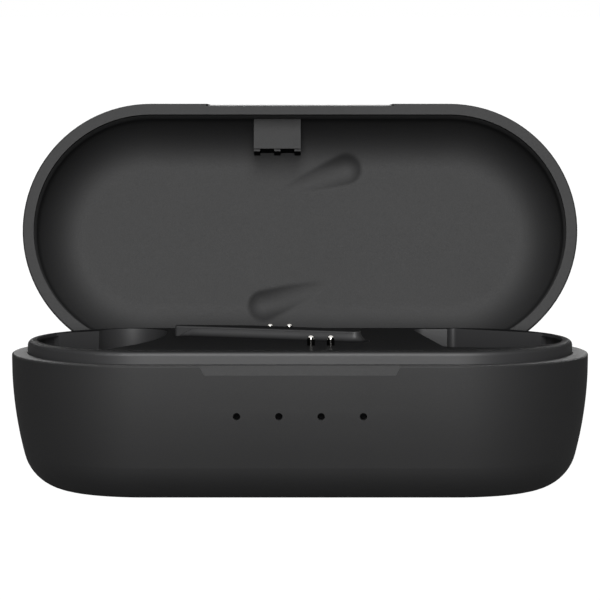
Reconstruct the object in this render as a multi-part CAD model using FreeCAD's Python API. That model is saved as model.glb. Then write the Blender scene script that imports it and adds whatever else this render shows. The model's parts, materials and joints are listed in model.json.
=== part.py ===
import FreeCAD, Part
import math
import os

# Charging case for a pair of wireless earbuds, with its lid open. All sizes are in millimetres.
# +X runs along the case, +Y points to the hinge, +Z is up, and the origin is the centre of the
# flat underside. Plans are stadiums: two straight sides and two half-round ends. An outline is
# drawn as (reach, height), where reach is the distance out from the stadium's middle line.

Vector = FreeCAD.Vector

# Outer form
case_length = 80.0
case_depth = 36.8
base_height = 18.9
lid_height = 10.0
open_angle = 101.0

# Base shell
shell_wall = 1.6
rim_width = 2.1
rim_round = 0.25
side_radius = 52.8
bottom_radius = 6.4
widest_below_rim = 0.8
bevel_half_width = 13.6
bevel_height = 1.3
bevel_inset = 0.45
bevel_end_slope = 0.7
rib_thickness = 1.2
rib_x = 18.2
rib_reach = 1.6
boss_radius = 1.9
cell_stop_height = 3.0
cell_stop_half_width = 6.0
cell_end_gap = 0.3

# Tray
lip_height = 1.8
lip_wall = 1.3
lip_round = 0.7
tray_gap = 0.1
skirt_depth = 3.2
deck_thickness = 1.5
cradle_wall = 1.2
notch_end_gap = 0.4
notch_depth = 0.5

# Ridge between the buds: its front and rear walls run parallel, across the middle of the deck
ridge_height = 1.5
ridge_slope = 0.348
ridge_half_width = 1.86
ridge_left_end = -20.8
ridge_rear_end = -7.1
ridge_right_end = 8.4
ridge_tip_round = 0.5
ridge_nose_round = 0.9
ridge_rear_round = 4.0
ridge_edge_round = 0.3

# Cradles: a shelf of free outline, and a deeper well for the bud's body. Offsets run outwards
# from the centre of the half-round at the cradle's own end.
shelf_depth = 3.2
cradle_wall = 1.2
facet_angle = 32.0
facet_lean = 29.0
left_wall_radius = 39.7
left_wall_sweep = 45.0
left_round_radius = 5.0
left_round_offset = 2.1
left_round_inset = 5.3
left_round_sweep = 163.0
right_rear_inset = 1.1
right_rear_offset = -5.7
right_rear_round = 1.3
right_step_offset = -0.65
right_step_round = 0.85
right_front_inset = 3.0
right_front_offset = 6.7
right_front_round = 8.0
right_corner_inset = 3.9
right_corner_offset = -1.9
right_corner_round = 2.2
right_tip_y = -2.0
left_well_depth = 9.0
left_well_radius = 5.2
left_well_rear = (3.0, 6.3)
left_well_front = (7.4, -4.2)
right_well_depth = 8.7
right_well_radius = 8.6
right_well_place = (5.2, 0.5)
well_floor_round = 2.5
relief_depth = 0.7
relief_below_lip = 0.4
relief_height = 2.5
relief_angle = 33.0

# Contact pins
pin_x_near = 1.5
pin_pitch = 2.7
pin_y = 8.3
pin_radius = 0.54
pin_tip_height = 1.35
pin_hole_gap = 0.12
pin_running_gap = 0.04
collar_radius = 0.65
collar_length = 0.8
collar_gap = 0.01
barrel_radius = 0.86
barrel_lip = 0.35
barrel_below_deck = 0.3
barrel_floor = 0.3
barrel_hole_gap = 0.05
spring_radius = 0.5
spring_wire = 0.16
holder_margin = 1.0
holder_height = 1.7
holder_corner = 0.8

# Hinge
hinge_inset = 1.0
hinge_drop = 1.45
hinge_pin_radius = 0.4
hinge_pin_fit = 0.01
hinge_running_gap = 0.05
roll_radius = 1.25
knuckle_radius = 0.9
knuckle_inner_x = 7.0
knuckle_outer_x = 12.0
knuckle_end_gap = 0.2
knuckle_pocket_depth = 1.55
hinge_pin_end_gap = 0.3
hinge_pin_chamfer = 0.1
bracket_half_length = 15.2
bracket_gap = 0.1
bracket_below_axis = 2.35
bracket_foot_inset = 1.0
bracket_foot_depth = 1.1
bracket_foot_overlap = 0.4
bracket_foot_below_axis = 0.7
tab_below_board = 0.3
tab_thickness = 1.3
tab_half_width = 2.6
tab_half_depth = 1.9
screw_boss_x = 9.6
screw_boss_y = 5.1
screw_radius = 0.8
screw_head_radius = 1.5
screw_head_height = 0.8
screw_length = 4.5
screw_tip_gap = 0.4
screw_fit = 0.02
screw_hole_gap = 0.1
screw_slot_half_length = 0.9
screw_slot_half_width = 0.15

# Lid
lid_gap = 0.05
lid_rim_width = 1.6
lid_rim_round = 0.25
lid_cap_wall = 0.75
lid_seam = 0.6
lid_seam_gap = 0.05
lid_ceiling = 1.2
lid_side_radius = 45.0
lid_corner_radius = 5.0
lid_inside_corner = 2.7
lid_widest_above_rim = 0.8
lid_bevel_drop = 0.35
recess_depth = 0.65
recess_radius = 4.3
recess_fade = 9.5
recess_heading = 19.0
recess_front = (6.7, -9.8)
recess_rear = (-5.3, 10.2)
magnet_cover_x = -3.3
magnet_cover_width = 6.8
magnet_cover_depth = 4.6
magnet_cover_below_rim = 2.7
magnet_cover_wall = 0.8
magnet_cover_fit = 0.05
magnet_cover_ribs = 3
magnet_rib_width = 0.9
magnet_rib_height = 0.35
magnet_rib_start = 0.3
magnet_thickness = 1.6
magnet_fit = 0.1
magnet_front_gap = 0.5

# Light holes
led_count = 4
led_pitch = 5.7
led_below_rim = 6.9
led_hole_radius = 0.5
light_pip_gap = 0.05
light_pip_recess = 1.2
light_bar_depth = 4.2
light_bar_height = 1.5
light_bar_gap = 0.05
led_size = (1.6, 0.8, 0.6)

# Board, cell and what is on them
board_thickness = 1.0
board_below_rim = 4.3
board_front_gap = 1.6
board_rear_gap = 5.5
cradle_to_board = 1.0
board_tail_half_width = 5.6
board_tail_gap = 0.6
board_corner = 1.0
tray_boss_radius = 1.9
left_screw_inset = (7.4, 9.0)
front_screw_inset = (10.6, 7.2)
chip_chamfer = 0.12
charge_chip_place = (-8.0, -0.8)
charge_chip_size = (3.0, 3.0, 0.8)
control_chip_place = (5.6, 0.4)
control_chip_size = (4.0, 4.0, 0.8)
inductor_place = (-8.2, 4.4)
inductor_size = (3.0, 3.0, 1.4)
sensor_size = (2.9, 1.4, 1.0)
capacitor_count = 6
capacitor_pitch = 1.5
capacitor_first = (-10.5, -4.6)
capacitor_size = (0.6, 1.1, 0.55)
cell_length = 35.0
cell_thickness = 6.0
cell_past_floor = 0.2
cell_corner = 1.2
pad_thickness = 0.4
pad_end_inset = 4.0
pad_side_inset = 3.0
lead_radius = 0.45
lead_half_spacing = 0.8
lead_below_top = 2.2
lead_reach = 1.0
lead_over_cell = 0.9
socket_size = (4.0, 3.2, 2.2)
socket_y = -7.6
socket_edge_gap = 0.4
socket_chamfer = 0.3
usb_width = 9.0
usb_height = 3.2
usb_length = 7.3
usb_wall = 0.3
usb_recess = 0.85
usb_hole_gap = 0.3
tongue_fit = 0.02
tongue_root = 1.5
tongue_side_gap = 1.1
tongue_mouth_gap = 0.8
tongue_half_thickness = 0.35
closure_magnet_gap = 0.1
closure_magnet_depth = 2.5
bud_magnet_place = (8.6, -7.4)
bud_magnet_radius = 2.3

# Worked out from the sizes above
reach = case_depth / 2
end_x = case_length / 2 - reach
rim_z = base_height
lip_reach = reach - rim_width - tray_gap
lip_inside = lip_reach - lip_wall
deck_z = rim_z + lip_height
skirt_z = rim_z - skirt_depth
deck_under_z = deck_z - deck_thickness
hinge_y = reach - hinge_inset
hinge_z = rim_z - hinge_drop
lid_rim_z = rim_z + lid_gap
lid_top_z = lid_rim_z + lid_height
board_top_z = rim_z - board_below_rim
board_under_z = board_top_z - board_thickness
pin_top_z = deck_z + pin_tip_height
barrel_top_z = deck_z - barrel_below_deck
collar_top_z = barrel_top_z - barrel_lip - collar_gap
cutout_z = hinge_z - bracket_below_axis - bracket_gap
tab_z = board_top_z - tab_below_board
lid_ceiling_depth = lid_cap_wall + lid_seam_gap + lid_ceiling
usb_mouth_y = reach - usb_recess - usb_wall
led_height = rim_z - led_below_rim
left_screw_x = left_screw_inset[0] - end_x
left_screw_y = reach - left_screw_inset[1]
board_screw_places = (
    (left_screw_x, -left_screw_y),
    (left_screw_x, left_screw_y),
    (end_x - front_screw_inset[0], front_screw_inset[1] - reach),
)
overshoot = 1.0


# Drawing helpers

def at(out, height):
    """Point of an outline in the plane across the case."""
    return Vector(0, out, height)


def bend(centre, radius, first, last):
    """Middle and end of an arc about a centre, with its angles in degrees from level outwards."""
    stops = [math.radians((first + last) / 2), math.radians(last)]
    return tuple((centre[0] + radius * math.cos(a), centre[1] + radius * math.sin(a)) for a in stops)


def on_plan(x, y):
    """Point of an outline in plan."""
    return Vector(x, y, 0)


def outline(start, *steps, place=at):
    """Closed face of lines and arcs: a step is the next corner, or an arc's middle and end."""
    edges = []
    here = start
    for step in (*steps, start):
        if isinstance(step[0], tuple):
            middle, there = step
            edges.append(Part.Arc(place(*here), place(*middle), place(*there)).toShape())
        else:
            there = step
            if math.dist(here, there) > 1e-6:
                edges.append(Part.LineSegment(place(*here), place(*there)).toShape())
        here = there
    return Part.Face(Part.Wire(edges))


def rounded_plan(*corners):
    """Face in plan over a polygon, each corner given as x, y and its rounding."""
    arcs = []
    for before, corner, after in zip(corners[-1:] + corners[:-1], corners, corners[1:] + corners[:1]):
        here = on_plan(*corner[:2])
        back = (on_plan(*before[:2]) - here).normalize()
        on = (on_plan(*after[:2]) - here).normalize()
        half = back.getAngle(on) / 2
        room = corner[2] / math.tan(half)
        middle = here + (back + on).normalize() * corner[2] * (1 / math.sin(half) - 1)
        arcs.append((here + back * room, middle, here + on * room))
    edges = []
    for (first, middle, last), (following, *rest) in zip(arcs, arcs[1:] + arcs[:1]):
        if (last - first).Length > 1e-6:
            edges.append(Part.Arc(first, middle, last).toShape())
        edges.append(Part.LineSegment(last, following).toShape())
    return Part.Face(Part.Wire(edges))


def raised(face, z0, z1):
    """Upright prism over a face in plan."""
    return face.translated(Vector(0, 0, z0)).extrude(Vector(0, 0, z1 - z0))


def stadium(face):
    """Solid of stadium plan whose half section is the face."""
    side = face.translated(Vector(-end_x, 0, 0)).extrude(Vector(2 * end_x, 0, 0))
    other_side = side.mirror(Vector(0, 0, 0), Vector(0, 1, 0))
    up = Vector(0, 0, 1)
    right = face.translated(Vector(end_x, 0, 0)).revolve(Vector(end_x, 0, 0), up, -180)
    left = face.translated(Vector(-end_x, 0, 0)).revolve(Vector(-end_x, 0, 0), up, 180)
    return side.fuse([other_side, right, left]).removeSplitter()


def stadium_plate(out, low, high):
    """Upright stadium prism that reaches out from the middle line, between two heights."""
    return stadium(outline((0, low), (out, low), (out, high), (0, high)))


def hull_outline(out, top, widest, side, corner, floor, bevelled=False):
    """Half section of a bowl: level floor, round corner, and a side that swells to its widest."""
    rise = math.asin((widest - floor - corner) / (side - corner))
    corner_out = out - side + (side - corner) * math.cos(rise)
    below = -math.degrees(rise)
    turn = bend((corner_out, floor + corner), corner, -90, below)
    return outline(
        (0, floor),
        (corner_out, floor),
        turn[1] if bevelled else turn,
        bend((out - side, widest), side, below, 0),
        (out, top),
        (0, top),
    )


def block(x0, x1, y0, y1, z0, z1):
    """Box between two corners."""
    return Part.makeBox(x1 - x0, y1 - y0, z1 - z0, Vector(x0, y0, z0))


def rod(x, y, z0, z1, radius):
    """Upright cylinder."""
    return Part.makeCylinder(radius, z1 - z0, Vector(x, y, z0))


def cross_rod(x0, x1, y, z, radius):
    """Cylinder along the case."""
    return Part.makeCylinder(radius, x1 - x0, Vector(x0, y, z), Vector(1, 0, 0))


def slot(ends, radius, z0, z1):
    """Upright prism over the line between two points in plan, rounded by a radius."""
    (xa, ya), (xb, yb) = ends
    length = math.dist(*ends)
    side = on_plan(-(yb - ya), xb - xa) * (radius / length)
    along = on_plan(xb - xa, yb - ya) * (radius / length)
    a = on_plan(xa, ya)
    b = on_plan(xb, yb)
    edges = [
        Part.LineSegment(a - side, b - side).toShape(),
        Part.Arc(b - side, b + along, b + side).toShape(),
        Part.LineSegment(b + side, a + side).toShape(),
        Part.Arc(a + side, a - along, a - side).toShape(),
    ]
    return raised(Part.Face(Part.Wire(edges)), z0, z1)


def half_turn(shape):
    """Copy turned half a turn about the upright middle axis."""
    return shape.rotated(Vector(0, 0, 0), Vector(0, 0, 1), 180)


def opened(shape):
    """Lid piece swung from shut to open about the hinge pin."""
    return shape.rotated(Vector(0, hinge_y, hinge_z), Vector(1, 0, 0), -open_angle)


def level_edges(shape, height):
    """Edges that lie wholly at one height."""
    return [e for e in shape.Edges if max(abs(v.Z - height) for v in e.Vertexes) < 1e-4]


def upright_edges(shape):
    """Straight edges that stand upright."""
    found = []
    for edge in shape.Edges:
        box = edge.BoundBox
        if box.ZLength > 0.1 and box.XLength < 1e-4 and box.YLength < 1e-4:
            found.append(edge)
    return found


def rounded_block(x0, x1, y0, y1, z0, z1, radius):
    """Box with its four upright edges rounded."""
    solid = block(x0, x1, y0, y1, z0, z1)
    return solid.makeFillet(radius, upright_edges(solid))


def save(name, shape):
    """Write one node."""
    shape.exportStep("parts/" + name + ".step")


# Base shell

def shell_body():
    """Outer form of the lower housing, filled."""
    widest = rim_z - widest_below_rim
    bowl = stadium(hull_outline(reach, rim_z, widest, side_radius, bottom_radius, 0))
    return bowl.makeFillet(rim_round, rim_edges(bowl))


def rim_edges(bowl):
    """Outer edges of a bowl's level top."""
    return level_edges(bowl, bowl.BoundBox.ZMax)


def shell_cavity():
    """Hollow of the lower housing: bevelled at the floor, and upright inside the rim."""
    widest = rim_z - widest_below_rim
    hollow = stadium(hull_outline(
        reach - shell_wall,
        rim_z + overshoot,
        widest,
        side_radius - shell_wall,
        bottom_radius - shell_wall,
        shell_wall,
        bevelled=True,
    ))
    return hollow.common(stadium_plate(reach - rim_width, 0, rim_z + overshoot))


def shell_ribs(cavity):
    """Upright ribs on the straight walls, level with the foot of the tray's skirt."""
    inner = reach - rim_width - rib_reach
    ribs = []
    for x in (-rib_x, rib_x):
        for y0, y1 in ((-reach, -inner), (inner, reach)):
            plate = block(x - rib_thickness / 2, x + rib_thickness / 2, y0, y1, 0, skirt_z)
            ribs.append(plate.common(cavity))
    return ribs


def bracket_bosses(cavity):
    """Two columns at the rear wall that take the hinge bracket's screws."""
    top = tab_z
    bosses = []
    for side in (-1, 1):
        x = side * screw_boss_x
        y = reach - screw_boss_y
        column = rod(x, y, 0, top, boss_radius)
        web = block(x - boss_radius / 2, x + boss_radius / 2, y, reach, 0, top)
        hole = rod(x, y, top - screw_length, top, screw_radius)
        bosses.append(column.fuse(web).common(cavity).cut(hole))
    return bosses


def cell_stops(cavity):
    """Low ribs on the floor at each end of the cell."""
    stops = []
    for side in (-1, 1):
        x = side * (cell_length / 2 + cell_end_gap + rib_thickness / 2)
        half = cell_stop_half_width
        top = shell_wall + cell_stop_height
        stop = block(x - rib_thickness / 2, x + rib_thickness / 2, -half, half, 0, top)
        stops.append(stop.common(cavity))
    return stops


def thumb_bevel(edge_z, inset, up):
    """Wedge that bevels the front edge at a height: up is -1 below the edge and 1 above it."""
    lean = bevel_height / inset
    corners = [
        (-reach + inset, edge_z - up * overshoot),
        (-reach + inset, edge_z),
        (-reach - overshoot, edge_z + up * (inset + overshoot) * lean),
        (-reach - overshoot, edge_z - up * overshoot),
    ]
    points = [Vector(-case_length / 2, y, z) for y, z in corners]
    wedge = Part.Face(Part.makePolygon(points + points[:1])).extrude(Vector(case_length, 0, 0))
    half = bevel_half_width
    narrow = half - bevel_end_slope * (1 + overshoot / bevel_height)
    wide = half + bevel_end_slope * overshoot / bevel_height
    low = edge_z - up * overshoot
    high = edge_z + up * (bevel_height + overshoot)
    points = [Vector(x, -reach - 2 * overshoot, z) for x, z in
              ((-wide, low), (wide, low), (narrow, high), (-narrow, high))]
    window = Part.Face(Part.makePolygon(points + points[:1])).extrude(Vector(0, 4 * overshoot, 0))
    return wedge.common(window)


def rear_cutout():
    """Opening in the rear wall that the hinge bracket fills."""
    half = bracket_half_length + bracket_gap
    inner = reach - rim_width - overshoot
    return block(-half, half, inner, reach + overshoot, cutout_z, rim_z + overshoot)


def rolled_edge(half_length):
    """What is cut from the rear wall's top edge so that the lid's rim can turn past it."""
    corner = block(-half_length, half_length, hinge_y, reach + overshoot, hinge_z, rim_z + overshoot)
    return corner.cut(cross_rod(-half_length, half_length, hinge_y, hinge_z, roll_radius))


def roll_half_length():
    """Half the length over which the rear rim lies behind the hinge axis."""
    return end_x + math.sqrt(reach ** 2 - hinge_y ** 2)


def usb_slot(gap, y0, y1):
    """Rounded slot of the charging socket's section, from one depth to another."""
    radius = usb_height / 2 + gap
    half = usb_width / 2 - usb_height / 2
    z = board_under_z - usb_height / 2
    flat = slot([(-half, 0), (half, 0)], radius, 0, y1 - y0)
    flat.rotate(Vector(0, 0, 0), Vector(1, 0, 0), -90)
    flat.translate(Vector(0, y0, z))
    return flat


def led_places():
    """Positions of the lights along the case."""
    first = -(led_count - 1) * led_pitch / 2
    return [first + i * led_pitch for i in range(led_count)]


def front_rod(x, z, y0, y1, radius):
    """Cylinder that runs across the case."""
    return Part.makeCylinder(radius, y1 - y0, Vector(x, y0, z), Vector(0, 1, 0))


def base_shell():
    """Moulded lower housing."""
    cavity = shell_cavity()
    shell = shell_body().cut(cavity)
    shell = shell.fuse(shell_ribs(cavity) + bracket_bosses(cavity) + cell_stops(cavity))
    cuts = [thumb_bevel(rim_z, bevel_inset, -1), rear_cutout(), rolled_edge(roll_half_length())]
    cuts.append(usb_slot(usb_hole_gap, reach - 3 * shell_wall, reach + overshoot))
    for x in led_places():
        cuts.append(front_rod(x, led_height, -reach - overshoot, -reach + 3 * shell_wall, led_hole_radius))
    return shell.cut(cuts).removeSplitter()


# Tray

def left_plan():
    """Outline of the left shelf: a long bent wall, a round rear end, and a facet towards the tip."""
    x = -end_x - left_round_offset
    y = lip_inside - left_round_inset
    bent_centre = (x + left_round_radius - left_wall_radius, y)
    start = bend(bent_centre, left_wall_radius, 0, -left_wall_sweep)[1]
    wall = bend(bent_centre, left_wall_radius, -left_wall_sweep, 0)
    rear = bend((x, y), left_round_radius, 0, left_round_sweep)
    lean = math.radians(facet_lean)
    tip = (rear[1][0] - end_x * math.cos(lean), rear[1][1] - end_x * math.sin(lean))
    return outline(start, wall, rear, tip, (tip[0], -case_depth), (start[0], -case_depth), place=on_plan)


def right_plan():
    """Outline of the right shelf: a rear wall with one step, and a facet towards the tip."""
    rear = lip_inside - right_rear_inset
    step = end_x + right_step_offset
    angle = math.radians(facet_angle)
    fall = math.tan(math.radians(facet_lean))
    facet_x = end_x + lip_inside * math.cos(angle)
    facet_y = lip_inside * math.sin(angle)
    tip = end_x + reach + overshoot
    return rounded_plan(
        (end_x + right_rear_offset, rear, right_rear_round),
        (step, rear, 0),
        (step + tray_gap, facet_y + (facet_x - step) * fall, right_step_round),
        (tip, facet_y + (facet_x - tip) * fall, 0),
        (tip, right_tip_y, 0),
        (end_x + right_front_offset, right_front_inset - lip_inside, right_front_round),
        (end_x + right_corner_offset, right_corner_inset - lip_inside, right_corner_round),
    )


def shelf(plan, grow):
    """Shallow hollow of a cradle over its outline, larger by a wall's thickness."""
    face = plan.makeOffset2D(grow) if grow > 0 else plan
    hollow = raised(face, deck_z - shelf_depth - grow, deck_z)
    return hollow.common(stadium_plate(lip_inside + grow, 0, deck_z))


def left_well(grow):
    """Deep oblong hollow under the left shelf, with a round floor edge inside."""
    ends = [(-end_x - offset, y) for offset, y in (left_well_rear, left_well_front)]
    low = deck_z - left_well_depth - grow
    well = slot(ends, left_well_radius + grow, low, deck_z - shelf_depth)
    return well if grow > 0 else well.makeFillet(well_floor_round, level_edges(well, low))


def right_well(grow):
    """Deep round hollow under the right shelf, with a round floor edge inside."""
    low = deck_z - right_well_depth - grow
    x = end_x + right_well_place[0]
    well = rod(x, right_well_place[1], low, deck_z - shelf_depth, right_well_radius + grow)
    return well if grow > 0 else well.makeFillet(well_floor_round, level_edges(well, low))


def cradles(grow):
    """Hollows of both cradles, larger by a wall's thickness."""
    return [shelf(left_plan(), grow), shelf(right_plan(), grow), left_well(grow), right_well(grow)]


def tip_relief(side):
    """Undercut below the lip at one end of the case."""
    low = deck_z - relief_below_lip - relief_height
    high = deck_z - relief_below_lip
    inner = lip_inside - cradle_wall
    outer = lip_inside + relief_depth
    sloped = low + relief_depth
    face = outline((inner, low), (lip_inside, low), (outer, sloped), (outer, high), (inner, high))
    start = 90 - relief_angle
    face = face.rotated(Vector(0, 0, 0), Vector(0, 0, 1), -start)
    sector = face.revolve(Vector(0, 0, 0), Vector(0, 0, 1), -2 * relief_angle)
    sector.translate(Vector(end_x, 0, 0))
    return sector if side > 0 else half_turn(sector)


def ridge_y(x, wall):
    """Line of the ridge's wall in plan: wall is -1 in front and 1 behind."""
    return wall * ridge_half_width - ridge_slope * x


def ridge():
    """Diagonal ridge between the two buds, pointed at its left end."""
    face = rounded_plan(
        (ridge_left_end, ridge_y(ridge_left_end, -1), ridge_tip_round),
        (ridge_right_end, ridge_y(ridge_right_end, -1), ridge_nose_round),
        (ridge_right_end, ridge_y(ridge_right_end, 1), ridge_nose_round),
        (ridge_rear_end, ridge_y(ridge_rear_end, 1), ridge_rear_round),
    )
    bar = raised(face, deck_under_z, deck_z + ridge_height)
    return bar.makeFillet(ridge_edge_round, level_edges(bar, deck_z + ridge_height))


def pin_places():
    """Name, and position in plan, of each contact pin."""
    far = pin_x_near + pin_pitch
    return [
        ("front_left", pin_x_near, -pin_y),
        ("front_right", far, -pin_y),
        ("rear_left", -far, pin_y),
        ("rear_right", -pin_x_near, pin_y),
    ]


def inner_tray():
    """Moulded tray: lip, deck, ridge, both cradles, and bosses for the board."""
    skirt_inside = lip_reach - lip_wall
    skirt = stadium(outline(
        (skirt_inside, skirt_z),
        (lip_reach, skirt_z),
        (lip_reach, deck_z - lip_round),
        bend((lip_reach - lip_round, deck_z - lip_round), lip_round, 0, 90),
        (skirt_inside, deck_z),
    ))
    deck = stadium_plate(skirt_inside, deck_under_z, deck_z)
    below_deck = stadium_plate(lip_reach, 0, deck_under_z)
    solids = [deck, ridge()] + [cup.common(below_deck) for cup in cradles(cradle_wall)]
    for x, y in board_screw_places:
        solids.append(rod(x, y, board_top_z, deck_under_z, tray_boss_radius))
    tray = skirt.fuse(solids)
    cuts = cradles(0) + [tip_relief(-1), tip_relief(1)]
    headroom = deck_z + ridge_height + overshoot
    low = deck_under_z - overshoot
    for name, x, y in pin_places():
        cuts.append(rod(x, y, low, headroom, pin_radius + pin_hole_gap))
        cuts.append(rod(x, y, low, barrel_top_z + barrel_hole_gap, barrel_radius + barrel_hole_gap))
    thread_top = board_top_z + screw_length - board_thickness
    for x, y in board_screw_places:
        cuts.append(rod(x, y, board_top_z - overshoot, thread_top, screw_radius))
    half = bracket_half_length + notch_end_gap
    notch_in = lip_inside - notch_depth
    cuts.append(block(-half, half, notch_in, reach, skirt_z - overshoot, hinge_z - notch_depth))
    return tray.cut(cuts).removeSplitter()


# Contact pins

def pin_plunger(x, y):
    """Sprung pin with a domed tip and the collar that keeps it in its barrel."""
    shaft = rod(x, y, collar_top_z - collar_length, pin_top_z - pin_radius, pin_radius)
    dome = Part.makeSphere(pin_radius, Vector(x, y, pin_top_z - pin_radius))
    collar = rod(x, y, collar_top_z - collar_length, collar_top_z, collar_radius)
    return shaft.fuse([dome, collar]).removeSplitter()


def pin_barrel(x, y):
    """Brass tube that guides a pin, soldered to the board."""
    bore = collar_radius + pin_running_gap
    tube = rod(x, y, board_top_z, barrel_top_z, barrel_radius)
    hollow = rod(x, y, board_top_z + barrel_floor, barrel_top_z - barrel_lip, bore)
    mouth = rod(x, y, board_top_z + barrel_floor, barrel_top_z + overshoot, pin_radius + pin_running_gap)
    return tube.cut([hollow, mouth])


def pin_spring(x, y):
    """Coil spring under a pin, drawn as a sleeve of the coil's size."""
    low = board_top_z + barrel_floor
    high = collar_top_z - collar_length
    return rod(x, y, low, high, spring_radius).cut(rod(x, y, low, high, spring_radius - spring_wire))


def pin_holder(places):
    """Insulator under the deck that holds a pair of barrels."""
    xs = [x for name, x, y in places]
    y = places[0][2]
    half = barrel_radius + holder_margin
    low = deck_under_z - holder_height
    left = min(xs) - half
    right = max(xs) + half
    solid = rounded_block(left, right, y - half, y + half, low, deck_under_z, holder_corner)
    return solid.cut([rod(x, y, low - overshoot, deck_under_z + overshoot, barrel_radius) for x in xs])


# Hinge

def hinge_bracket():
    """Hinge block that fills the rear cut-out, with barrels either side of the lid's knuckles."""
    half = bracket_half_length
    wall_in = reach - rim_width + tray_gap
    low = hinge_z - bracket_below_axis
    window = block(-half, half, wall_in, reach + overshoot, low, rim_z)
    wall = shell_body().common(window)
    foot_half = half - bracket_foot_inset
    foot_in = reach - rim_width - bracket_foot_depth
    foot_top = hinge_z - bracket_foot_below_axis
    foot = block(-foot_half, foot_half, foot_in, wall_in + bracket_foot_overlap, low, foot_top)
    tabs = []
    for side in (-1, 1):
        x = side * screw_boss_x
        y = reach - screw_boss_y
        tab_out = reach - rim_width - tray_gap
        tab_top = tab_z + tab_thickness
        tab = block(x - tab_half_width, x + tab_half_width, y - tab_half_depth, tab_out, tab_z, tab_top)
        hole = rod(x, y, tab_z - overshoot, tab_top + overshoot, screw_radius + screw_hole_gap)
        tabs.append(tab.cut(hole))
    bracket = wall.fuse([foot] + tabs)
    bracket = bracket.cut(rolled_edge(half + overshoot))
    bore = hinge_pin_radius + hinge_pin_fit
    cuts = [cross_rod(-half - overshoot, half + overshoot, hinge_y, hinge_z, bore)]
    for side in (-1, 1):
        xs = sorted([side * (knuckle_inner_x - knuckle_end_gap), side * (knuckle_outer_x + knuckle_end_gap)])
        pocket_z = hinge_z - knuckle_pocket_depth
        cuts.append(block(*xs, wall_in - tray_gap, reach + overshoot, pocket_z, rim_z + overshoot))
    return bracket.cut(cuts).removeSplitter()


def hinge_pin():
    """Steel pin through the bracket's barrels and the lid's knuckles."""
    half = bracket_half_length - hinge_pin_end_gap
    pin = cross_rod(-half, half, hinge_y, hinge_z, hinge_pin_radius)
    return pin.makeChamfer(hinge_pin_chamfer, [e for e in pin.Edges if e.BoundBox.XLength < 1e-6])


def small_screw(x, y, seat_z, up):
    """Self-tapping screw: up is 1 when its head is above the seat and -1 when it is below."""
    shank = rod(x, y, screw_tip_gap - screw_length, 0, screw_radius - screw_fit)
    head = rod(x, y, 0, screw_head_height, screw_head_radius)
    head = head.makeChamfer(screw_head_height / 3, level_edges(head, screw_head_height))
    long = screw_slot_half_length
    wide = screw_slot_half_width
    low = screw_head_height / 2
    high = screw_head_height + overshoot
    cross = [block(x - a, x + a, y - b, y + b, low, high) for a, b in ((long, wide), (wide, long))]
    screw = head.cut(cross).fuse(shank).removeSplitter()
    if up < 0:
        screw.rotate(Vector(x, y, 0), Vector(1, 0, 0), 180)
    screw.translate(Vector(0, 0, seat_z))
    return screw


# Lid, built shut and then opened

def flipped(solid):
    """Turns a bowl over so that it is a lid, and sets its top."""
    turned = solid.rotated(Vector(0, 0, 0), Vector(1, 0, 0), 180)
    turned.translate(Vector(0, 0, lid_top_z))
    return turned


def lid_bowl(wall, corner, floor, top):
    """Bowl that follows the lid's outside at a depth of one wall, from its floor to a height."""
    widest = lid_height - lid_widest_above_rim
    return flipped(stadium(hull_outline(reach - wall, top, widest, lid_side_radius - wall, corner, floor)))


def lid_shell():
    """Outer cap of the lid."""
    top = lid_height - lid_seam - lid_seam_gap
    inner_corner = lid_corner_radius - lid_cap_wall
    hollow = lid_bowl(lid_cap_wall, inner_corner, lid_cap_wall, lid_height + overshoot)
    cap = lid_bowl(0, lid_corner_radius, 0, top).cut(hollow)
    return opened(cap.cut(thumb_bevel(lid_rim_z, lid_bevel_drop, 1)))


def recess(place, heading):
    """Shallow hollow that clears a bud: round at its deep end, fading along its heading."""
    angle = math.radians(heading)
    run = Vector(math.cos(angle), math.sin(angle), -recess_depth / recess_fade)
    deep = Vector(*place, lid_top_z - lid_ceiling_depth + recess_depth - recess_radius)
    ball = Part.makeSphere(recess_radius, deep)
    return ball.fuse(Part.makeCylinder(recess_radius, recess_fade + recess_radius, deep, run))


def lid_inside(gap, height):
    """Space inside the lid, smaller by a gap, up to a height over the ceiling's level."""
    return lid_bowl(lid_rim_width + gap, lid_inside_corner, lid_ceiling_depth + gap, height)


def lid_knuckles():
    """Two barrels that turn on the hinge pin, with necks up to the lid's rim."""
    solids = []
    for side in (-1, 1):
        x0 = min(side * knuckle_inner_x, side * knuckle_outer_x)
        x1 = max(side * knuckle_inner_x, side * knuckle_outer_x)
        barrel = cross_rod(x0, x1, hinge_y, hinge_z, knuckle_radius)
        neck_y = hinge_y - knuckle_radius
        neck = block(x0, x1, neck_y, neck_y + 2 * knuckle_radius, hinge_z, lid_rim_z + lid_seam)
        solids += [barrel, neck]
    return solids


def lid_rim_band():
    """Rim of the lid out to its outer face, as high as the seam."""
    return stadium(outline(
        (0, lid_rim_z),
        (reach - lid_rim_round, lid_rim_z),
        bend((reach - lid_rim_round, lid_rim_z + lid_rim_round), lid_rim_round, -90, 0),
        (reach, lid_rim_z + lid_seam),
        (0, lid_rim_z + lid_seam),
    ))


def lid_liner():
    """Inner moulding of the lid: rim, wall, ceiling and hinge knuckles."""
    wall = lid_cap_wall + lid_seam_gap
    inner = lid_bowl(wall, lid_corner_radius - wall, wall, lid_height - lid_seam / 2)
    liner = inner.fuse([lid_rim_band()] + lid_knuckles())
    bore = cross_rod(-reach, reach, hinge_y, hinge_z, hinge_pin_radius + hinge_running_gap)
    cuts = [lid_inside(0, lid_height + overshoot), bore]
    cuts += [recess(recess_front, 180 - recess_heading), recess(recess_rear, -recess_heading)]
    cuts.append(thumb_bevel(lid_rim_z, lid_bevel_drop, 1))
    return opened(liner.cut(cuts).removeSplitter())


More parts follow.
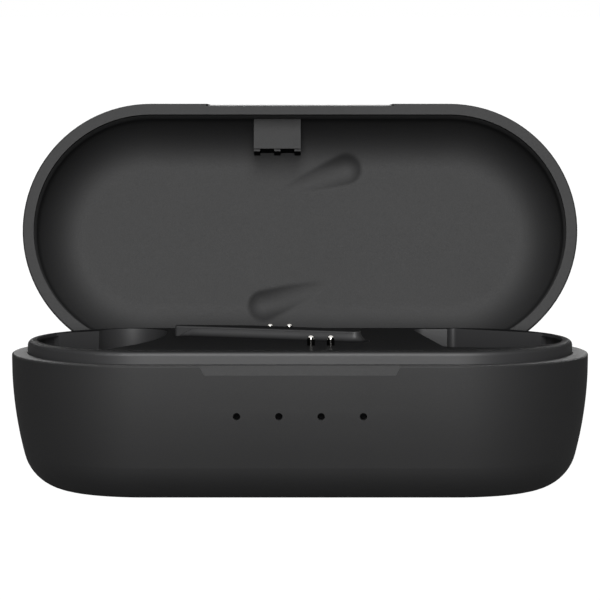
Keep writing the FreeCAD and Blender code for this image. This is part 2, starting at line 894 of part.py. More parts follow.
def magnet_cover():
    """Block that holds the lid's magnet, open towards the ceiling, with ribs on its lower face."""
    x0 = magnet_cover_x - magnet_cover_width / 2
    x1 = magnet_cover_x + magnet_cover_width / 2
    y0 = -reach
    y1 = -reach + lid_rim_width + magnet_cover_depth
    low = lid_rim_z + magnet_cover_below_rim
    body = block(x0, x1, y0, y1, low, lid_top_z)
    rib_low = low + magnet_rib_start
    for i in range(magnet_cover_ribs):
        x = x0 + (x1 - x0 - magnet_rib_width) * i / (magnet_cover_ribs - 1)
        body = body.fuse(block(x, x + magnet_rib_width, y1, y1 + magnet_rib_height, rib_low, lid_top_z))
    body = body.common(lid_inside(magnet_cover_fit, lid_height + overshoot))
    return opened(body.cut(magnet_space(magnet_fit)).removeSplitter())


def magnet_space(gap):
    """Box of the lid's magnet, grown by a gap."""
    wall = magnet_cover_wall + magnet_fit - gap
    low = lid_rim_z + magnet_cover_below_rim
    y0 = -reach + lid_rim_width + wall + magnet_front_gap
    y1 = -reach + lid_rim_width + magnet_cover_depth - wall
    top = low + magnet_cover_wall + magnet_thickness + 2 * magnet_fit
    if gap > 0:
        top = lid_top_z
    half = magnet_cover_width / 2 - wall
    return block(magnet_cover_x - half, magnet_cover_x + half, y0, y1, low + wall, top)


def lid_magnet():
    """Magnet in the lid."""
    return opened(magnet_space(0))


# Electronics

def wall_lean(z):
    """How far the base's side has curved in at a height below its widest line."""
    return side_radius - math.sqrt(side_radius ** 2 - (rim_z - widest_below_rim - z) ** 2)


def light_bar_front():
    """Front face of the light bar, clear of the rim above it and of the wall beside it."""
    inside = wall_lean(led_height - light_bar_height / 2) + shell_wall
    return max(rim_width, inside) + light_bar_gap - reach


def light_guide():
    """Clear bar behind the front wall, with a pip in each light hole."""
    half = led_places()[-1] + led_size[0]
    y0 = light_bar_front()
    z0 = led_height - light_bar_height / 2
    bar = block(-half, half, y0, y0 + light_bar_depth, z0, z0 + light_bar_height)
    tip = wall_lean(led_height) + light_pip_recess - reach
    radius = led_hole_radius - light_pip_gap
    pips = [front_rod(x, led_height, tip, y0 + overshoot, radius) for x in led_places()]
    return bar.fuse(pips).removeSplitter()


def led_chips():
    """Light-emitting diodes on the board's underside, over the light bar."""
    width, depth, height = led_size
    y = light_bar_front() + light_bar_depth - depth
    chips = []
    for x in led_places():
        low = board_under_z - height
        chips.append(block(x - width / 2, x + width / 2, y - depth / 2, y + depth / 2, low, board_under_z))
    return Part.makeCompound(chips)


def board_edges():
    """Left, right, front and rear edges of the board."""
    gap = cradle_wall + cradle_to_board
    left = -(end_x + left_well_rear[0] - left_well_radius - gap)
    right = end_x + right_well_place[0] - right_well_radius - gap
    return left, right, -(reach - rim_width - board_front_gap), reach - rim_width - board_rear_gap


def main_pcb():
    """Circuit board, with a tail that carries the charging socket."""
    left, right, front, rear = board_edges()
    board = rounded_block(left, right, front, rear, board_under_z, board_top_z, board_corner)
    tail_rear = reach - rim_width - board_tail_gap
    half = board_tail_half_width
    tail = block(-half, half, rear - overshoot, tail_rear, board_under_z, board_top_z)
    board = board.fuse(tail).removeSplitter()
    low = board_under_z - overshoot
    high = board_top_z + overshoot
    return board.cut([rod(x, y, low, high, screw_radius + screw_hole_gap) for x, y in board_screw_places])


def chip(x, y, width, depth, height):
    """Component body on the board's upper face."""
    top = board_top_z + height
    solid = block(x - width / 2, x + width / 2, y - depth / 2, y + depth / 2, board_top_z, top)
    return solid.makeChamfer(chip_chamfer, level_edges(solid, top))


def ceramic_capacitors():
    """Small capacitors in a row beside the chips."""
    x, y = capacitor_first
    row = [chip(x + capacitor_pitch * i, y, *capacitor_size) for i in range(capacitor_count)]
    return Part.makeCompound(row)


def usb_shell():
    """Drawn steel shell of the charging socket, closed at its inner end."""
    back = usb_mouth_y - usb_length
    shell = usb_slot(0, back, usb_mouth_y)
    return shell.cut(usb_slot(-usb_wall, back + usb_wall, usb_mouth_y + overshoot))


def usb_tongue():
    """Contact tongue in the charging socket."""
    back = usb_mouth_y - usb_length + usb_wall
    low = board_under_z - usb_height / 2 - tongue_half_thickness
    high = low + 2 * tongue_half_thickness
    half = usb_width / 2 - tongue_side_gap
    root = usb_slot(-usb_wall - tongue_fit, back, back + tongue_root)
    tongue = block(-half, half, back, usb_mouth_y - tongue_mouth_gap, low, high)
    return root.fuse(tongue).removeSplitter()


def cell_half_depth():
    """Half the cell's depth: the level floor between the housing's round corners, and a little more."""
    widest = rim_z - widest_below_rim
    rise = math.asin((widest - bottom_radius) / (side_radius - bottom_radius))
    level = reach - side_radius + (side_radius - bottom_radius) * math.cos(rise)
    return level + cell_past_floor


def battery_cell():
    """Pouch cell."""
    half = cell_length / 2
    depth = cell_half_depth()
    low = shell_wall + pad_thickness
    cell = block(-half, half, -depth, depth, low, low + cell_thickness)
    return cell.makeFillet(cell_corner, [e for e in cell.Edges if e.BoundBox.XLength > 1])


def battery_pad():
    """Foam tape under the cell."""
    half = cell_length / 2 - pad_end_inset
    depth = cell_half_depth() - pad_side_inset
    return block(-half, half, -depth, depth, shell_wall, shell_wall + pad_thickness)


def lead_socket_place():
    """Middle of the wire connector in plan."""
    right = board_edges()[1]
    return right - socket_size[0] / 2 - socket_edge_gap, socket_y


def battery_socket():
    """Wire connector under the board."""
    x, y = lead_socket_place()
    width, depth, height = socket_size
    low = board_under_z - height
    solid = block(x - width / 2, x + width / 2, y - depth / 2, y + depth / 2, low, board_under_z)
    return solid.makeChamfer(socket_chamfer, level_edges(solid, low))


def battery_lead(offset):
    """Wire from the cell's end, over the cell and up to the connector."""
    x, y = lead_socket_place()
    low = shell_wall + pad_thickness + cell_thickness - lead_below_top
    high = low + lead_below_top + lead_over_cell
    end = cell_length / 2
    stops = [
        Vector(end, y + offset, low),
        Vector(end + lead_reach, y + offset, low),
        Vector(end + lead_reach, y + offset, high),
        Vector(x, y + offset, high),
        Vector(x, y + offset, board_under_z - socket_size[2]),
    ]
    section = Part.Wire([Part.Circle(stops[0], Vector(1, 0, 0), lead_radius).toShape()])
    return Part.makePolygon(stops).makePipeShell([section], True, False, 1)


def closure_magnet():
    """Magnet under the deck, opposite the one in the lid."""
    half = magnet_cover_width / 2 - magnet_cover_wall
    y0 = closure_magnet_gap - lip_inside
    low = deck_under_z - magnet_thickness
    x0 = magnet_cover_x - half
    return block(x0, x0 + 2 * half, y0, y0 + closure_magnet_depth, low, deck_under_z)


def earbud_magnets():
    """Disc magnets under the deck that hold the buds on their pins."""
    disc = rod(*bud_magnet_place, deck_under_z - magnet_thickness, deck_under_z, bud_magnet_radius)
    return Part.makeCompound([disc, half_turn(disc)])


# Build

os.makedirs("parts", exist_ok=True)

save("base_shell", base_shell())
save("inner_tray", inner_tray())
save("light_guide", light_guide())
save("led_chips", led_chips())
save("main_pcb", main_pcb())
save("charge_chip", chip(*charge_chip_place, *charge_chip_size))
save("control_chip", chip(*control_chip_place, *control_chip_size))
save("power_inductor", chip(*inductor_place, *inductor_size))
save("ceramic_capacitors", ceramic_capacitors())
sensor_y = closure_magnet_gap + closure_magnet_depth - lip_inside
save("hall_sensor", chip(magnet_cover_x, sensor_y, *sensor_size))
save("usb_shell", usb_shell())
save("usb_tongue", usb_tongue())
save("battery_cell", battery_cell())
save("battery_pad", battery_pad())
save("battery_lead_plus", battery_lead(lead_half_spacing))
save("battery_lead_minus", battery_lead(-lead_half_spacing))
save("battery_socket", battery_socket())
save("closure_magnet", closure_magnet())
save("earbud_magnets", earbud_magnets())
tray_screws = [small_screw(x, y, board_under_z, -1) for x, y in board_screw_places]
save("tray_screws", Part.makeCompound(tray_screws))

places = pin_places()
save("pin_holder_front", pin_holder(places[:2]))
save("pin_holder_rear", pin_holder(places[2:]))
save("pin_barrels_front", Part.makeCompound([pin_barrel(x, y) for name, x, y in places[:2]]))
save("pin_barrels_rear", Part.makeCompound([pin_barrel(x, y) for name, x, y in places[2:]]))
for name, x, y in places:
    save("pin_plunger_" + name, pin_plunger(x, y))
    save("pin_spring_" + name, pin_spring(x, y))

save("hinge_bracket", hinge_bracket())
save("hinge_pin", hinge_pin())
bracket_seat = tab_z + tab_thickness
bracket_screws = [small_screw(s * screw_boss_x, reach - screw_boss_y, bracket_seat, 1) for s in (-1, 1)]
save("bracket_screws", Part.makeCompound(bracket_screws))

save("lid_shell", lid_shell())
save("lid_liner", lid_liner())
save("magnet_cover", magnet_cover())
save("lid_magnet", lid_magnet())
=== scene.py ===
import json
import math

import bmesh
import bpy
import numpy as np
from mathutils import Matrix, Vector


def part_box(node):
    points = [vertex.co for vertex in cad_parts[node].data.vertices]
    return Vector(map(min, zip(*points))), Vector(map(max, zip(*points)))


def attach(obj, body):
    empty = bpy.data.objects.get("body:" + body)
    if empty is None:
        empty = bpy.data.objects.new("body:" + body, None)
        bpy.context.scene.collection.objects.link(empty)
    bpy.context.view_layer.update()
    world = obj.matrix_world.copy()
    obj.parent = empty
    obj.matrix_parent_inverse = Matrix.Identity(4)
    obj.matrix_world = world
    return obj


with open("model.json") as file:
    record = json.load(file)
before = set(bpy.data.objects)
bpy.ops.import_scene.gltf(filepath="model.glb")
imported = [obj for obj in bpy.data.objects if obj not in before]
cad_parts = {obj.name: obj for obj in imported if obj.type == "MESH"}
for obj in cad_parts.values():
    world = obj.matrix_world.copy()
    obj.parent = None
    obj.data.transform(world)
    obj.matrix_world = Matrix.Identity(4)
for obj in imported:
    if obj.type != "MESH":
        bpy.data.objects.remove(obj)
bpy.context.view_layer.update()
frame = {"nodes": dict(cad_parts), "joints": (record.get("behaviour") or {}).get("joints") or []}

# Camera: a long lens half a metre away, a little above the case and square to its front.
# The picture is square, and its middle looks at the open gap between base and lid.
camera_distance = 0.560
camera_elevation = math.radians(5.25)
camera_target = Vector((0.0, 0.0, 0.02613))
picture_pixels = 600
focal_pixels = 4033
sensor_width = 36.0
nearest_seen = 0.01
farthest_seen = 20.0

camera = bpy.data.objects.new("camera", bpy.data.cameras.new("camera"))
bpy.context.scene.collection.objects.link(camera)
towards_camera = Vector((0.0, -math.cos(camera_elevation), math.sin(camera_elevation)))
camera.location = camera_target + camera_distance * towards_camera
camera.rotation_euler = (math.pi / 2 - camera_elevation, 0.0, 0.0)
camera.data.sensor_width = sensor_width
camera.data.lens = focal_pixels / picture_pixels * sensor_width
camera.data.clip_start = nearest_seen
camera.data.clip_end = farthest_seen
bpy.context.scene.camera = camera

# Housing: the lower shell, the lid's cap and the hinge block are moulded in one dark grey plastic
# from a spark-eroded tool. It leaves a fine even grain, so the plastic has a broad dull sheen.
housing_grey = (0.0105, 0.0105, 0.0109)
housing_grey_worn = (0.012, 0.012, 0.0124)
housing_roughness = (0.62, 0.70)
plastic_level = 0.5
grain_size = 0.00016
grain_depth = 0.000006
cloud_size = 0.011


def material(name):
    """New node material: gives the material, its node tree and its Principled shader."""
    made = bpy.data.materials.new(name)
    made.use_nodes = True
    return made, made.node_tree, made.node_tree.nodes["Principled BSDF"]


def noise(tree, size, detail=2.0):
    """Noise on Object coordinates whose features measure about one size, in metres."""
    where = tree.nodes.new("ShaderNodeTexCoord")
    speckle = tree.nodes.new("ShaderNodeTexNoise")
    speckle.inputs["Scale"].default_value = 1.0 / size
    speckle.inputs["Detail"].default_value = detail
    tree.links.new(where.outputs["Object"], speckle.inputs["Vector"])
    return speckle.outputs["Fac"]


def spread(tree, value, low, high, start=0.3, end=0.7):
    """Stretches a value from its own range, start to end, to the range from low to high. A noise
    value's own range is about 0.3 to 0.7."""
    remap = tree.nodes.new("ShaderNodeMapRange")
    remap.inputs["From Min"].default_value = start
    remap.inputs["From Max"].default_value = end
    remap.inputs["To Min"].default_value = low
    remap.inputs["To Max"].default_value = high
    tree.links.new(value, remap.inputs["Value"])
    return remap.outputs["Result"]


def blend_colours(tree, share, first, second):
    """Colour between two: all of the first at share 0, and all of the second at share 1. The
    first may also be the output of a node."""
    mix = tree.nodes.new("ShaderNodeMix")
    mix.data_type = "RGBA"
    if isinstance(first, tuple):
        mix.inputs["A"].default_value = (*first, 1.0)
    else:
        tree.links.new(first, mix.inputs["A"])
    mix.inputs["B"].default_value = (*second, 1.0)
    tree.links.new(share, mix.inputs["Factor"])
    return mix.outputs["Result"]


def relief(tree, shader, height, depth):
    """Bump of a real depth, in metres, on a shader."""
    bump = tree.nodes.new("ShaderNodeBump")
    bump.inputs["Strength"].default_value = 1.0
    bump.inputs["Distance"].default_value = depth
    tree.links.new(height, bump.inputs["Height"])
    tree.links.new(bump.outputs["Normal"], shader.inputs["Normal"])


def moulded(name, colour, worn, roughness, level, grain, depth):
    """Moulded plastic: cloudy colour, and a grain that shows in its sheen and its relief."""
    made, tree, shader = material(name)
    cloud = spread(tree, noise(tree, cloud_size, detail=3.0), 0.0, 1.0)
    tree.links.new(blend_colours(tree, cloud, colour, worn), shader.inputs["Base Color"])
    speck = noise(tree, grain)
    tree.links.new(spread(tree, speck, *roughness), shader.inputs["Roughness"])
    relief(tree, shader, speck, depth)
    shader.inputs["Specular IOR Level"].default_value = level
    return made


def finish(names, made):
    """Gives CAD nodes one material in every slot."""
    for name in names:
        slots = frame["nodes"][name].data.materials
        slots.clear()
        slots.append(made)


finish(["base_shell", "lid_shell", "hinge_bracket"],
       moulded("housing_plastic", colour=housing_grey, worn=housing_grey_worn,
               roughness=housing_roughness, level=plastic_level,
               grain=grain_size, depth=grain_depth))

# Tray: a second moulding. Faces square to the draw, such as the deck, are painted dark as painted
# shade and have a weaker sheen; the walls and lip have draught and a finer grain, and are painted
# lighter.
# The walls' grey is the tray's own dark grey, painted lighter than the housing's: partly painted
# light.
wall_grey_with_painted_light = (0.027, 0.027, 0.028)
wall_grey_worn_with_painted_light = (0.030, 0.030, 0.031)
wall_roughness = (0.46, 0.52)
wall_grain_depth = grain_depth * 0.6
# The dark grey of faces square to the draw is painted shade.
painted_shade_grey = (0.0055, 0.0055, 0.0058)
etched_level = 0.02
upwards = (0.0, 0.0, 1.0)
shade_from = 0.35
shade_to = 0.90


def along(tree, direction, output):
    """Part of a texture coordinate, such as the face direction, that lies along a direction: the
    dot product of the two."""
    where = tree.nodes.new("ShaderNodeTexCoord")
    product = tree.nodes.new("ShaderNodeVectorMath")
    product.operation = "DOT_PRODUCT"
    product.inputs[1].default_value = direction
    tree.links.new(where.outputs[output], product.inputs[0])
    return product.outputs["Value"]


def paint_shade_by_facing(made, draw, start, end, dark=painted_shade_grey):
    """Paints shade into a material's colour by the part of its face direction that lies along the
    draw, and weakens its sheen there: none of it at start, and all of it at end."""
    tree = made.node_tree
    shader = tree.nodes["Principled BSDF"]
    share = spread(tree, along(tree, draw, "Normal"), 0.0, 1.0, start, end)
    colour = shader.inputs["Base Color"]
    tree.links.new(blend_colours(tree, share, colour.links[0].from_socket, dark), colour)
    level = shader.inputs["Specular IOR Level"]
    tree.links.new(spread(tree, share, level.default_value, etched_level, 0.0, 1.0), level)


tray = moulded("tray_plastic", colour=wall_grey_with_painted_light, worn=wall_grey_worn_with_painted_light, roughness=wall_roughness,
               level=plastic_level, grain=grain_size, depth=wall_grain_depth)
paint_shade_by_facing(tray, upwards, shade_from, shade_to)
finish(["inner_tray"], tray)

# Lid lining: the housing's plastic again, with painted shade and a weaker sheen on its walls and
# not on its rim and ceiling. The wall turns into the ceiling in one wide hollow round, a thin skin
# over the moulding that is shaped with the lid shut and then opened with it.
# The lining's walls take the dark grey as painted shade.
lining_shade_from = 0.45
lining_shade_to = 0.15
lid_hinge = next(joint for joint in frame["joints"] if joint["name"] == "lid_hinge")
hinge_y, hinge_z = lid_hinge["pos_m"][1:]
open_turn = -math.radians(lid_hinge["range_deg"][1])
lid_draw = (0.0, math.sin(open_turn), -math.cos(open_turn))
low_corner, high_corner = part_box("base_shell")
half_length = high_corner[0]
half_depth = -low_corner[1]
rim_height = high_corner[2]
middle_half = half_length - half_depth
lid_rim_wall = 0.0016
ceiling_over_rim = 0.00802
cove_radius = 0.0070
skin_thickness = 0.00002
skin_clearance = 0.00004
recess_places = ((0.0067, -0.0098, math.radians(161)), (-0.0053, 0.0102, math.radians(-19)))
recess_depth = 0.00065
recess_radius = 0.0043
recess_fade = 0.0095
ring_count = 56
straight_steps = 140
end_steps = 48
merge_distance = 0.000002

lining = moulded("lining_plastic", colour=housing_grey, worn=housing_grey_worn,
                 roughness=housing_roughness, level=plastic_level,
                 grain=grain_size, depth=grain_depth)
paint_shade_by_facing(lining, lid_draw, lining_shade_from, lining_shade_to)
finish(["lid_liner", "magnet_cover"], lining)


def cove(out):
    """Drop of the ceiling at a distance out from the middle: r - sqrt(r^2 - (out - start)^2)."""
    start = half_depth - lid_rim_wall - cove_radius
    past = np.clip(out - start, 0.0, cove_radius)
    return cove_radius - np.sqrt(cove_radius ** 2 - past ** 2)


def recess(x, y, place):
    """Depth of one recess: how far a ball at its deep end, and a rod of the ball's radius that
    rises out of the ceiling on from it, reach past the ceiling's level."""
    east, north = math.cos(place[2]), math.sin(place[2])
    run = (x - place[0]) * east + (y - place[1]) * north
    side = (y - place[1]) * east - (x - place[0]) * north
    behind = np.minimum(run, 0.0)
    round_top = np.sqrt(np.maximum(recess_radius ** 2 - side ** 2 - behind ** 2, 0.0))
    sink = np.maximum(run, 0.0) * recess_depth / recess_fade
    return np.maximum(recess_depth - recess_radius + round_top - sink, 0.0)


def stadium_line():
    """Points x of the stadium's middle line, and the direction out from each: once round, straight
    in front, a half circle about the right end, straight behind and a half circle on the left."""
    line = np.linspace(-middle_half, middle_half, straight_steps, endpoint=False)
    swing = np.linspace(0.0, math.pi, end_steps, endpoint=False)
    quarter = math.pi / 2
    x = np.concatenate([line, np.full(end_steps, middle_half),
                        -line, np.full(end_steps, -middle_half)])
    heading = np.concatenate([np.full(straight_steps, -quarter), swing - quarter,
                              np.full(straight_steps, quarter), swing + quarter])
    return x, np.cos(heading), np.sin(heading)


def opened(x, y, z):
    """Points of the shut lid turned open about the hinge pin: y' = y cos a - z sin a and
    z' = y sin a + z cos a, both measured from the pin."""
    y, z = y - hinge_y, z - hinge_z
    cosine, sine = math.cos(open_turn), math.sin(open_turn)
    return np.stack([x, hinge_y + y * cosine - z * sine, hinge_z + y * sine + z * cosine], axis=2)


def ring_mesh(name, points, capped=False):
    """Mesh of quads between rows of points, where each row closes into a ring: a point, the next
    in its ring, and the same two in the next row. Capped gives the first and last ring a face."""
    rows, columns = points.shape[:2]
    here = np.arange((rows - 1) * columns).reshape(rows - 1, columns)
    after = np.roll(here, -1, axis=1)
    quads = np.stack([here, after, after + columns, here + columns], axis=2)
    faces = quads.reshape(-1, 4).tolist()
    smooth = [True] * len(faces)
    if capped:
        ring = np.arange(columns)
        faces += [ring.tolist(), (ring + (rows - 1) * columns).tolist()]
        smooth += [False, False]
    mesh = bpy.data.meshes.new(name)
    mesh.from_pydata(points.reshape(-1, 3).tolist(), [], faces)
    mesh.polygons.foreach_set("use_smooth", smooth)
    merged = bmesh.new()
    merged.from_mesh(mesh)
    bmesh.ops.remove_doubles(merged, verts=merged.verts, dist=merge_distance)
    bmesh.ops.recalc_face_normals(merged, faces=merged.faces)
    merged.to_mesh(mesh)
    merged.free()
    made = bpy.data.objects.new(name, mesh)
    bpy.context.scene.collection.objects.link(made)
    return made


line_x, out_x, out_y = stadium_line()
out = (half_depth - lid_rim_wall) * np.linspace(0.0, 1.0, ring_count)[:, None]
x = line_x + out * out_x
y = out * out_y
z = rim_height + ceiling_over_rim - cove(out) - skin_clearance + np.zeros_like(x)
z += sum(recess(x, y, place) for place in recess_places)
lid_ceiling = ring_mesh("lid_ceiling", opened(x, y, z))
thicken = lid_ceiling.modifiers.new("thickness", "SOLIDIFY")
thicken.thickness = skin_thickness
thicken.offset = 0.0
lid_ceiling.data.materials.append(lining)
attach(lid_ceiling, "lid")

# Ridge foot: the ridge between the buds rises out of the deck in a hollow round, moulded with
# it. The round follows the ridge's wall round its blunt end, and dies out beside the left cradle.
ridge_height = 0.0015
ridge_slope = 0.348
ridge_half_width = 0.00186
foot_radius = 0.00122
foot_sink = 0.00004
foot_start = -0.0170
foot_growth = 0.002
foot_least = 0.05
nose_end = 0.0084
nose_round = 0.0009
rear_corner = -0.0071
rear_round = 0.004
left_tip = -0.0208
deck_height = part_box("inner_tray")[1][2] - ridge_height
wall_steps = 24
corner_steps = 8
arc_steps = 12
front, rear = -1, 1


def ridge_wall(x, side):
    """Point of the ridge's wall in plan: y = side * half width - slope * x."""
    return np.array([x, side * ridge_half_width - ridge_slope * x])


def heading(start, end):
    """Direction from one point to another: their difference over its length."""
    return (end - start) / np.linalg.norm(end - start)


def corner_arc(before, corner, after, radius):
    """Arc that rounds a corner, and the directions out from it. Its centre lies radius / sin(half
    the corner's angle) from the corner, on the line that halves that angle."""
    back, on = heading(corner, before), heading(corner, after)
    half = math.acos(back @ on) / 2
    centre = corner + heading(-back, on) * radius / math.sin(half)
    first = math.atan2(-back[0], back[1]) + math.pi
    angle = first + np.linspace(0.0, math.pi - 2 * half, corner_steps + 1)
    away = np.stack([np.cos(angle), np.sin(angle)], axis=1)
    return centre + radius * away, away


def straight_wall(first, last):
    """Points evenly between two, and the direction out from them, on the right of the run."""
    run = heading(first, last)
    share = np.linspace(0.0, 1.0, wall_steps + 1)[:, None]
    return first + share * (last - first), np.tile([run[1], -run[0]], (wall_steps + 1, 1))


front_left = ridge_wall(foot_start, front)
front_right = ridge_wall(nose_end, front)
rear_right = ridge_wall(nose_end, rear)
rear_bend = ridge_wall(rear_corner, rear)
tip = ridge_wall(left_tip, front)
rear_left = tip + (rear_bend - tip) * (foot_start - left_tip) / (rear_corner - left_tip)
nose_front = corner_arc(front_left, front_right, rear_right, nose_round)
nose_rear = corner_arc(front_right, rear_right, rear_bend, nose_round)
rear_turn = corner_arc(rear_right, rear_bend, tip, rear_round)
runs = [straight_wall(front_left, nose_front[0][0]), nose_front, nose_rear,
        straight_wall(nose_rear[0][-1], rear_turn[0][0]), rear_turn,
        straight_wall(rear_turn[0][-1], rear_left)]
wall = np.concatenate([points for points, away in runs])
away = np.concatenate([away for points, away in runs])

# The foot's section is a square corner less a quarter circle: reach is measured out from the
# wall and rise up from the deck, and both are radius * (1 - cosine or sine) round the quarter.
radius = foot_radius * np.clip((wall[:, :1] - foot_start) / foot_growth, foot_least, 1.0)
sunk = np.full_like(radius, -foot_sink)
quarter = np.linspace(0.0, math.pi / 2, arc_steps + 1)
reach = np.concatenate([sunk, sunk, radius * (1 - np.cos(quarter)), radius], axis=1)
rise = np.concatenate([sunk, radius, radius * (1 - np.sin(quarter)), sunk], axis=1)
plan = wall[:, None, :] + reach[:, :, None] * away[:, None, :]
ridge_foot = ring_mesh("ridge_foot", np.dstack([plan, deck_height + rise]), capped=True)
ridge_foot.data.materials.append(tray)
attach(ridge_foot, "base")

# Contact pins: turned brass pins, plated and polished, with their shanks painted dark as painted
# shade and a painted dark reflection of the deck, and a coil spring of steel wire under each in a
# drawn brass barrel. Black insulators hold the barrels under the deck.
turning_size = 0.00012
# The shanks' grey is painted shade and painted reflection.
shank_painted_shade = (0.16, 0.155, 0.15)
dome_edge = 0.25
shank_edge = 0.05
pin_names = ["front_left", "front_right", "rear_left", "rear_right"]


def metal(name, colour, roughness, scratch, depth):
    """Bare metal with fine scratches that vary its colour, its sheen and its relief."""
    made, tree, shader = material(name)
    shader.inputs["Metallic"].default_value = 1.0
    rub = noise(tree, scratch, detail=3.0)
    duller = tuple(0.9 * part for part in colour)
    tree.links.new(blend_colours(tree, spread(tree, rub, 0.0, 1.0), colour, duller),
                   shader.inputs["Base Color"])
    tree.links.new(spread(tree, rub, *roughness), shader.inputs["Roughness"])
    relief(tree, shader, rub, depth)
    return made


plated = metal("plated_contact", colour=(0.80, 0.78, 0.74), roughness=(0.02, 0.035),
               scratch=turning_size, depth=0.0000002)
paint_shade_by_facing(plated, upwards, dome_edge, shank_edge, shank_painted_shade)
finish(["pin_plunger_" + name for name in pin_names], plated)
finish(["pin_barrels_front", "pin_barrels_rear"],
       metal("drawn_brass", colour=(0.72, 0.53, 0.25), roughness=(0.2, 0.34),
             scratch=turning_size, depth=0.000001))
finish(["pin_spring_" + name for name in pin_names],
       metal("spring_wire", colour=(0.55, 0.55, 0.56), roughness=(0.22, 0.36),
             scratch=turning_size, depth=0.000001))
finish(["pin_holder_front", "pin_holder_rear", "usb_tongue"],
       moulded("black_moulding", colour=(0.014, 0.014, 0.015), worn=(0.018, 0.018, 0.019),
               roughness=(0.3, 0.4), level=plastic_level,
               grain=grain_size, depth=grain_depth * 0.5))

# Light guide: a nearly black frosted bar that brings the four lamps to the front wall, where its
# ends look like dark holes while the lamps are off. The lamps are small yellowish white chips.
frost_size = 0.0006
fleck_size = 0.0005

frosted, tree, shader = material("smoked_guide")
shader.inputs["Base Color"].default_value = (0.0012, 0.0012, 0.0014, 1.0)
shader.inputs["Transmission Weight"].default_value = 0.2
shader.inputs["IOR"].default_value = 1.49
shader.inputs["Specular IOR Level"].default_value = 0.05
tree.links.new(spread(tree, noise(tree, frost_size), 0.80, 0.95), shader.inputs["Roughness"])
finish(["light_guide"], frosted)

lamp, tree, shader = material("lamp_chip")
fleck = spread(tree, noise(tree, fleck_size), 0.0, 1.0)
tree.links.new(blend_colours(tree, fleck, (0.72, 0.66, 0.40), (0.80, 0.78, 0.66)),
               shader.inputs["Base Color"])
shader.inputs["Roughness"].default_value = 0.35
finish(["led_chips"], lamp)

# Socket, hinge pin, screws and magnets: drawn and rolled steel with a dull zinc or a bright
# nickel finish, and magnets that are pressed from powder and nickel plated.
finish(["usb_shell", "hinge_pin"],
       metal("drawn_steel", colour=(0.50, 0.50, 0.51), roughness=(0.24, 0.38),
             scratch=0.0003, depth=0.000002))
finish(["tray_screws", "bracket_screws"],
       metal("zinc_screw", colour=(0.42, 0.42, 0.44), roughness=(0.3, 0.45),
             scratch=0.0002, depth=0.000003))
finish(["closure_magnet", "earbud_magnets", "lid_magnet"],
       metal("nickel_plate", colour=(0.56, 0.55, 0.53), roughness=(0.12, 0.22),
             scratch=0.0005, depth=0.000001))

# Board: glass-fibre board under green solder mask, with its chips moulded in black, a ferrite
# inductor and a row of tan ceramic capacitors.
weave_size = 0.0007
mask_ripple_size = 0.0004
mask_ripple_depth = 0.000008

mask, tree, shader = material("solder_mask")
weave = spread(tree, noise(tree, weave_size, detail=1.0), 0.0, 1.0)
tree.links.new(blend_colours(tree, weave, (0.010, 0.085, 0.035), (0.016, 0.120, 0.050)),
               shader.inputs["Base Color"])
shader.inputs["Roughness"].default_value = 0.32
relief(tree, shader, noise(tree, mask_ripple_size, detail=1.0), mask_ripple_depth)
finish(["main_pcb"], mask)
finish(["charge_chip", "control_chip", "hall_sensor"],
       moulded("chip_black", colour=(0.016, 0.016, 0.017), worn=(0.024, 0.024, 0.025),
               roughness=(0.5, 0.62), level=0.4, grain=0.00009, depth=0.000004))
finish(["power_inductor"],
       moulded("ferrite", colour=(0.070, 0.070, 0.075), worn=(0.10, 0.10, 0.105),
               roughness=(0.5, 0.65), level=0.4, grain=0.00012, depth=0.000008))
finish(["ceramic_capacitors"],
       moulded("tan_ceramic", colour=(0.33, 0.22, 0.13), worn=(0.40, 0.28, 0.17),
               roughness=(0.35, 0.45), level=0.5, grain=0.0001, depth=0.000003))

# Cell: a pouch of aluminium laminate on black foam tape. Two insulated wires run from it to a
# white connector under the board.
crease_size = 0.004
crease_depth = 0.0003
insulation_grain = 0.0002
insulation_depth = 0.000004

pouch, tree, shader = material("pouch_laminate")
crease = noise(tree, crease_size, detail=4.0)
shader.inputs["Metallic"].default_value = 1.0
tree.links.new(blend_colours(tree, spread(tree, crease, 0.0, 1.0),
                             (0.62, 0.63, 0.65), (0.54, 0.55, 0.57)), shader.inputs["Base Color"])
tree.links.new(spread(tree, crease, 0.25, 0.4), shader.inputs["Roughness"])
relief(tree, shader, crease, crease_depth)
finish(["battery_cell"], pouch)
finish(["battery_pad"],
       moulded("foam_tape", colour=(0.02, 0.02, 0.02), worn=(0.035, 0.035, 0.035),
               roughness=(0.8, 0.95), level=0.2, grain=0.0003, depth=0.00006))
finish(["battery_lead_plus"],
       moulded("red_insulation", colour=(0.42, 0.02, 0.015), worn=(0.5, 0.03, 0.02),
               roughness=(0.4, 0.5), level=0.5, grain=insulation_grain, depth=insulation_depth))
finish(["battery_lead_minus"],
       moulded("black_insulation", colour=(0.012, 0.012, 0.012), worn=(0.02, 0.02, 0.02),
               roughness=(0.4, 0.5), level=0.5, grain=insulation_grain, depth=insulation_depth))
finish(["battery_socket"],
       moulded("white_nylon", colour=(0.66, 0.64, 0.58), worn=(0.72, 0.70, 0.64),
               roughness=(0.35, 0.45), level=0.5, grain=insulation_grain, depth=insulation_depth))

# Floor: a plain pale table that runs on behind the case. The camera, and what is seen through
# clear parts, sees it as white as paper with the soft shadow of the case; sheen sees it dimmer.
floor_half_side = 3.0
paper_grey = 0.18
paper_roughness = 0.9
paper_share = 0.85
paper_strength = 1.22
gleam_share = 0.05


def reckon(tree, operation, *values):
    """Math node on outputs of nodes, or on plain numbers."""
    worked = tree.nodes.new("ShaderNodeMath")
    worked.operation = operation
    for socket, value in zip(worked.inputs, values):
        if isinstance(value, float):
            socket.default_value = value
        else:
            tree.links.new(value, socket)
    return worked.outputs[0]


def plainly_seen(tree, paths):
    """1 for what the camera sees, straight or through a clear part, and 0 for all other light."""
    return reckon(tree, "MAXIMUM", paths.outputs["Is Camera Ray"],
                  paths.outputs["Is Transmission Ray"])


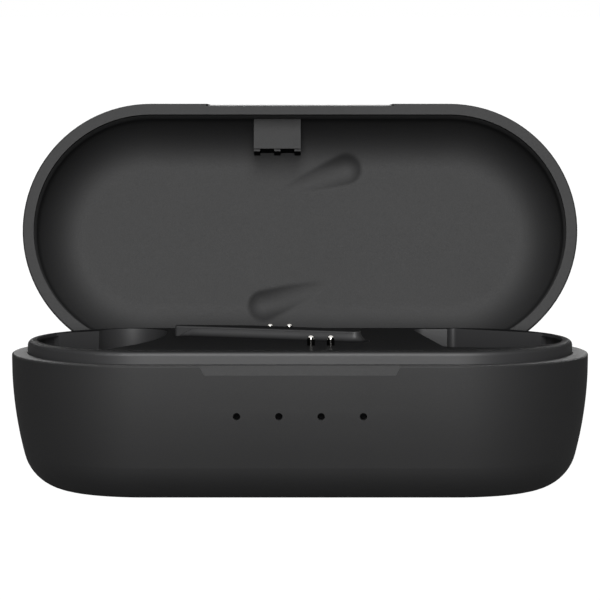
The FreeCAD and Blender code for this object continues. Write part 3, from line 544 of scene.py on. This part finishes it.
corners = [(x * floor_half_side, y * floor_half_side, 0.0)
           for x, y in ((-1, -1), (1, -1), (1, 1), (-1, 1))]
floor_mesh = bpy.data.meshes.new("floor")
floor_mesh.from_pydata(corners, [], [(0, 1, 2, 3)])
floor = bpy.data.objects.new("floor", floor_mesh)
bpy.context.scene.collection.objects.link(floor)

paper, tree, shader = material("white_table")
shader.inputs["Base Color"].default_value = (paper_grey, paper_grey, paper_grey, 1.0)
shader.inputs["Roughness"].default_value = paper_roughness
shader.inputs["Specular IOR Level"].default_value = 0.0
glow = tree.nodes.new("ShaderNodeEmission")
glow.inputs["Strength"].default_value = paper_strength
paths = tree.nodes.new("ShaderNodeLightPath")
gleam = reckon(tree, "MULTIPLY", paths.outputs["Is Glossy Ray"], gleam_share)
share = reckon(tree, "MULTIPLY_ADD", plainly_seen(tree, paths), paper_share, gleam)
mix = tree.nodes.new("ShaderNodeMixShader")
tree.links.new(share, mix.inputs["Fac"])
tree.links.new(shader.outputs["BSDF"], mix.inputs[1])
tree.links.new(glow.outputs["Emission"], mix.inputs[2])
tree.links.new(mix.outputs["Shader"], tree.nodes["Material Output"].inputs["Surface"])
floor_mesh.materials.append(paper)

# Light: a softbox high in front, a small low one under it, a weak one behind and a dark room.
# The background is white to the eye only, and sheen sees it in a sweep behind and overhead.
lit_middle = (0.0, 0.0, 0.03)
room_level = 0.006
sweep_axis = (0.0, 0.25, 0.97)
sweep_edge = (0.55, 0.75)


def softbox(name, place, width, height, power):
    """Square lamp at a place, turned to face the middle of the case."""
    data = bpy.data.lights.new(name, "AREA")
    data.shape = "RECTANGLE"
    data.size = width
    data.size_y = height
    data.energy = power
    box = bpy.data.objects.new(name, data)
    box.location = place
    box.rotation_euler = (Vector(place) - Vector(lit_middle)).to_track_quat("Z", "Y").to_euler()
    bpy.context.scene.collection.objects.link(box)


softbox("key_softbox", place=(0.0, -0.95, 0.68), width=0.55, height=0.75, power=12.3)
softbox("low_softbox", place=(0.0, -1.1, 0.09), width=0.4, height=0.2, power=4.8)
softbox("back_softbox", place=(0.0, 0.95, 0.55), width=0.7, height=0.4, power=9.0)

world = bpy.data.worlds.new("room")
bpy.context.scene.world = world
world.use_nodes = True
tree = world.node_tree
background = tree.nodes["Background"]
paths = tree.nodes.new("ShaderNodeLightPath")
sweep = spread(tree, along(tree, sweep_axis, "Generated"), 0.0, 1.0, *sweep_edge)
gleam = reckon(tree, "MULTIPLY", paths.outputs["Is Glossy Ray"], sweep)
shown = reckon(tree, "MAXIMUM", plainly_seen(tree, paths), gleam)
tree.links.new(spread(tree, shown, room_level, 1.0, 0.0, 1.0), background.inputs["Strength"])
background.inputs["Color"].default_value = (1.0, 1.0, 1.0, 1.0)

bpy.context.scene.view_settings.view_transform = "Standard"
